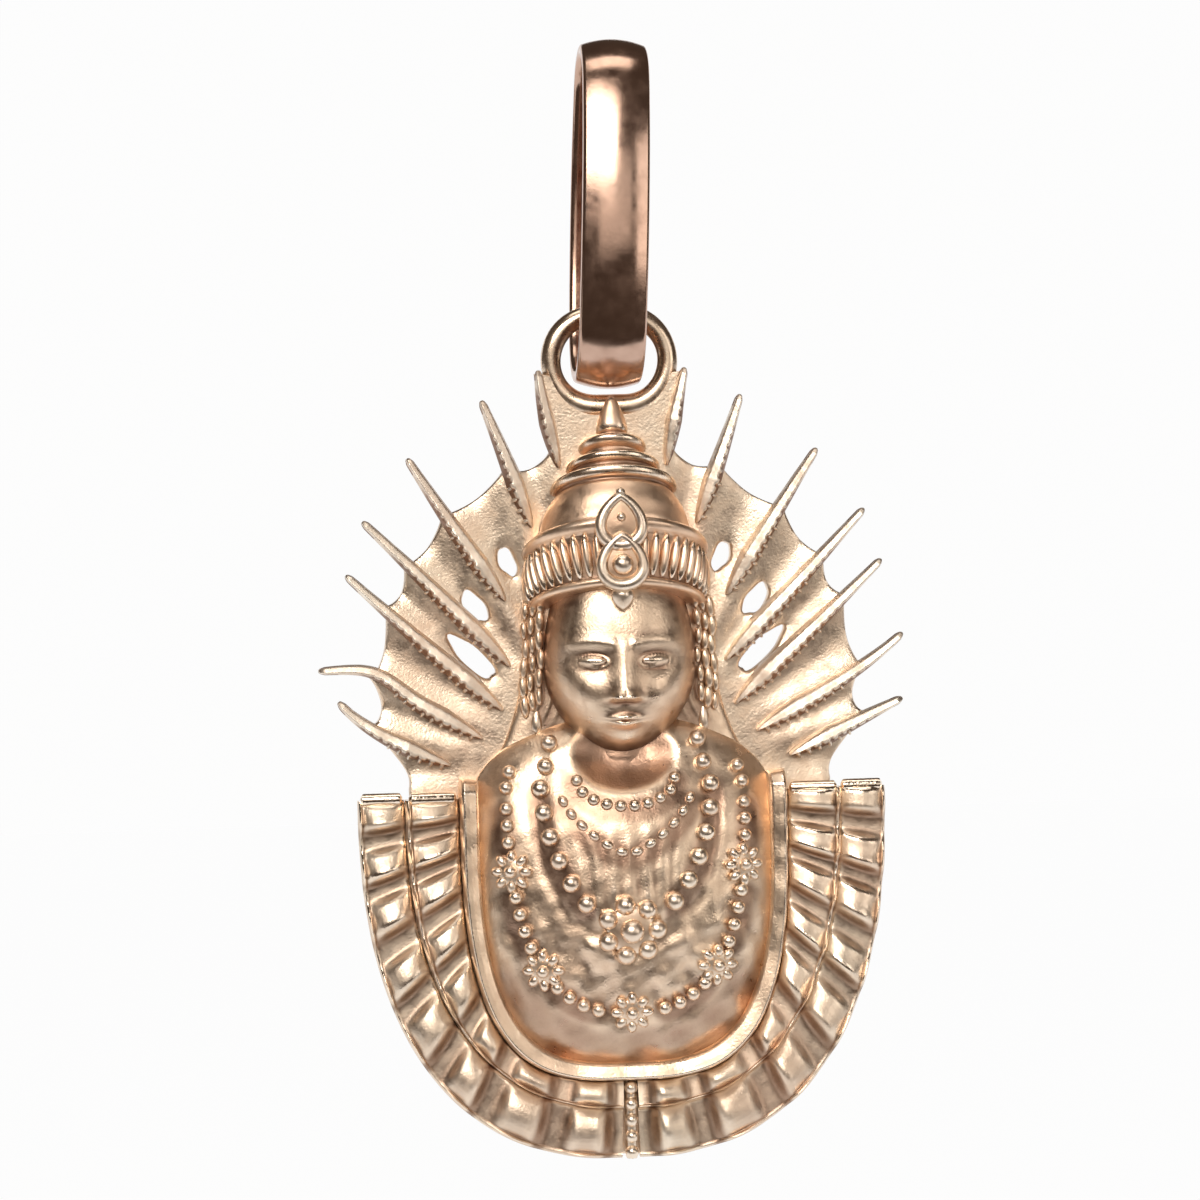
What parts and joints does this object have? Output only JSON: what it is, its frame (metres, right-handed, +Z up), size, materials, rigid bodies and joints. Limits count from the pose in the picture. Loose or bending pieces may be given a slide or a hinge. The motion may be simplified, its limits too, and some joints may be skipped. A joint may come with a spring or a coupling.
{
  "type": "devotional pendant",
  "caption": "Crowned bust before a rayed, pierced halo with a pleated skirt border, hung from a band bail that swings on the pendant's suspension ring.",
  "frame": {"origin": "chain seat: the inside of the bail's head, midway across the band, where the chain rests", "axes": "+Z up along the pendant, -Y out of the front face, +X to the viewer's right"},
  "size_m": [0.0256, 0.0082, 0.0487],
  "materials": {
    "bail_polish": "polished rose gold plate that mirrors dark surroundings",
    "wire_polish": "polished drawn wire in rose gold plate",
    "plate_satin": "satin rose gold plate with darker hollows",
    "ray_milled": "bright ridge over milled, darker edges in rose gold plate",
    "pleat_satin": "die-struck satin rose gold plate, bright on the crests",
    "figure_satin": "die-struck satin rose gold plate, worn bright on high points",
    "crown_satin": "die-struck satin rose gold plate with dark lines between reeds",
    "trim_polish": "bright granules and wire in rose gold plate"
  },
  "bodies": {
    "bail": {"bail": "bail_polish"},
    "pendant": {"back_plate": "plate_satin", "suspension_ring": "wire_polish", "ray_left_1": "ray_milled", "ray_left_2": "ray_milled", "ray_left_3": "ray_milled", "ray_left_4": "ray_milled", "ray_left_5": "ray_milled", "ray_left_6": "ray_milled", "ray_left_7": "ray_milled", "ray_right_1": "ray_milled", "ray_right_2": "ray_milled", "ray_right_3": "ray_milled", "ray_right_4": "ray_milled", "ray_right_5": "ray_milled", "ray_right_6": "ray_milled", "ray_right_7": "ray_milled", "skirt_left_outer": "pleat_satin", "skirt_left_inner": "pleat_satin", "skirt_right_outer": "pleat_satin", "skirt_right_inner": "pleat_satin", "skirt_seam_wire": "trim_polish", "bust_shell": "figure_satin", "bust_rim": "trim_polish", "veil": "figure_satin", "neck": "figure_satin", "face": "figure_satin", "crown_band": "crown_satin", "crown_cap": "crown_satin", "crown_finial": "trim_polish", "crown_plaque": "trim_polish", "ear_drop_left": "trim_polish", "ear_drop_right": "trim_polish", "choker_beads": "trim_polish", "fine_chain_beads": "trim_polish", "garland_beads": "trim_polish", "garland_flower": "trim_polish", "border_chain_beads": "trim_polish", "rosette_left_upper": "trim_polish", "rosette_right_upper": "trim_polish", "rosette_left_lower": "trim_polish", "rosette_right_lower": "trim_polish", "rosette_bottom": "trim_polish"}
  },
  "joints": [
    {"name": "pendant_swing", "type": "hinge", "parent": "bail", "child": "pendant", "pos_m": [0, 0, -0.0112], "axis": [1, 0, 0], "range_deg": [-90, 90]}
  ]
}
